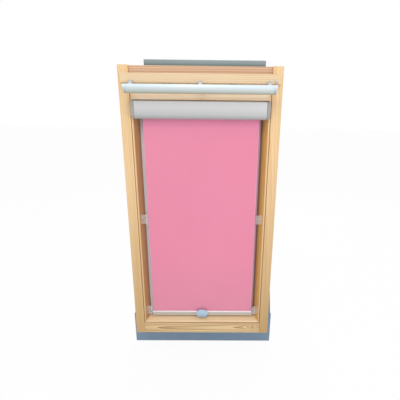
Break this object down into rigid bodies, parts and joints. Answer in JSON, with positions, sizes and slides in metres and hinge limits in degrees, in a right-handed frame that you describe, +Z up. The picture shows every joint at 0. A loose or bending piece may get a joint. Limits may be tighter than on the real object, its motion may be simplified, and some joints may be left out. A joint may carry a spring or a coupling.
{
  "type": "roof window with roller blind",
  "caption": "Centre-pivot pine roof window with double glazing, a ventilation flap worked by a control bar, grey outside covers and a roller blind drawn down over the glass.",
  "frame": {"origin": "middle of the underside of the frame's sill", "axes": "+Z up along the window, +X to the right seen from the room, +Y outwards through the glass; the room side faces -Y"},
  "size_m": [0.813, 0.201, 1.586],
  "materials": {
    "pine": "clear-lacquered pine",
    "outside_aluminium": "grey-blue lacquered",
    "glass": "clear",
    "rubber": "matt grey",
    "steel": "zinc plated",
    "silver_aluminium": "satin anodised",
    "cassette_grey": "satin light grey lacquer",
    "grey_plastic": "satin",
    "clear_plastic": "milky clear",
    "handle_plastic": "pale blue gloss",
    "blind_cloth": "matt woven blackout cloth"
  },
  "bodies": {
    "frame": {"frame_jamb_left": "pine", "frame_jamb_right": "pine", "frame_head": "pine", "frame_sill": "pine", "pivot_plate_frame_left": "steel", "pivot_plate_frame_right": "steel", "jamb_seal_left": "rubber", "jamb_seal_right": "rubber", "jamb_cover_left": "outside_aluminium", "jamb_cover_right": "outside_aluminium", "head_cover": "outside_aluminium", "vent_hood": "outside_aluminium", "sill_apron": "outside_aluminium", "latch_strike": "steel"},
    "sash": {"sash_stile_left": "pine", "sash_stile_right": "pine", "sash_top_rail": "pine", "sash_bottom_rail": "pine", "glass_inner": "glass", "glass_outer": "glass", "glass_spacer": "outside_aluminium", "glazing_gasket": "rubber", "sash_cover_left": "outside_aluminium", "sash_cover_right": "outside_aluminium", "sash_cover_top": "outside_aluminium", "sash_cover_bottom": "outside_aluminium", "pivot_plate_sash_left": "steel", "pivot_plate_sash_right": "steel", "flap_hinge_left": "steel", "flap_hinge_right": "steel", "latch_case": "steel", "latch_tongue": "steel", "cassette_cover": "cassette_grey", "cassette_back": "cassette_grey", "cassette_cap_left": "grey_plastic", "cassette_cap_right": "grey_plastic", "roller_bearing_left": "grey_plastic", "roller_bearing_right": "grey_plastic", "mid_claw_left": "clear_plastic", "mid_claw_right": "clear_plastic", "bottom_claw_left": "clear_plastic", "bottom_claw_right": "clear_plastic", "blind_cloth": "blind_cloth"},
    "vent_flap": {"vent_flap": "pine", "control_bar": "silver_aluminium", "bar_end_left": "silver_aluminium", "bar_end_right": "silver_aluminium", "bar_bracket_left": "silver_aluminium", "bar_bracket_centre": "silver_aluminium", "bar_bracket_right": "silver_aluminium", "flap_stud": "silver_aluminium"},
    "roller": {"roller_tube": "silver_aluminium", "cloth_roll": "blind_cloth", "spring_plug": "grey_plastic", "idler_plug": "grey_plastic"},
    "blind_bar": {"bottom_bar": "silver_aluminium", "bottom_bar_cap_left": "grey_plastic", "bottom_bar_cap_right": "grey_plastic", "pull_handle": "handle_plastic"}
  },
  "joints": [
    {"name": "sash_pivot", "type": "hinge", "parent": "frame", "child": "sash", "pos_m": [0, -0.012, 0.70375], "axis": [1, 0, 0], "range_deg": [0, 150]},
    {"name": "flap_hinge", "type": "hinge", "parent": "sash", "child": "vent_flap", "pos_m": [0, -0.0538, 1.3239], "axis": [1, 0, 0], "range_deg": [0, 25]},
    {"name": "blind_travel", "type": "slide", "parent": "sash", "child": "blind_bar", "axis": [0, 0, 1], "range_m": [0, 1.04], "deforming": ["blind_cloth"]},
    {"name": "roller_turn", "type": "hinge", "parent": "sash", "child": "roller", "pos_m": [0, -0.0402, 1.2085], "axis": [1, 0, 0], "range_deg": [0, 4400]}
  ],
  "couplings": [
    {"joint": "roller_turn", "follows": "blind_travel", "rad_per_m": 72.5}
  ]
}
